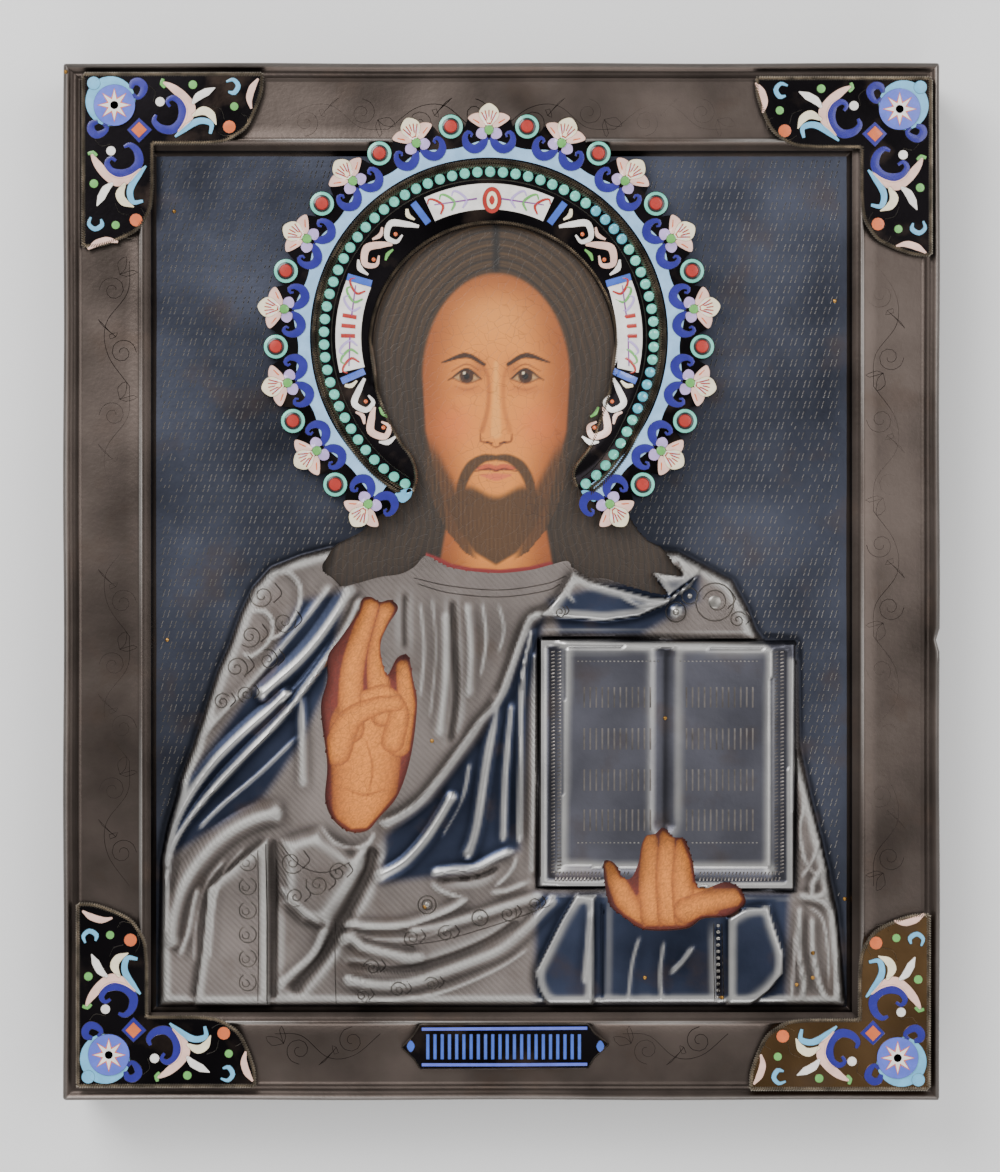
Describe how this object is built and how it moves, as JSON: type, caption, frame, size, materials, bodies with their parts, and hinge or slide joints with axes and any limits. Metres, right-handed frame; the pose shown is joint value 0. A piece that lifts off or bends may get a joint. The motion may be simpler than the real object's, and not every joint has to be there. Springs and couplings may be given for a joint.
{
  "type": "icon panel",
  "caption": "Painted wood icon panel under a patinated relief metal cover, with an enamelled halo, corner plates and a name plate, lying on its back.",
  "frame": {"origin": "centre of the panel's back, on the surface it lies on", "axes": "+Z out of the front, +Y to the top of the picture, +X to the right of the picture"},
  "size_m": [0.225, 0.266, 0.0288],
  "materials": {
    "painted_wood": "old tempera over gesso in front, bare aged wood behind",
    "patinated_silver": "dark tarnish with bright worn crests",
    "enamel": "glossy enamel between twisted wires"
  },
  "bodies": {
    "root": {"wood_panel": "painted_wood", "cover": "patinated_silver", "halo": "enamel", "corner_plate_top_left": "enamel", "corner_plate_top_right": "enamel", "corner_plate_bottom_left": "enamel", "corner_plate_bottom_right": "enamel", "name_plate": "enamel"}
  },
  "joints": []
}
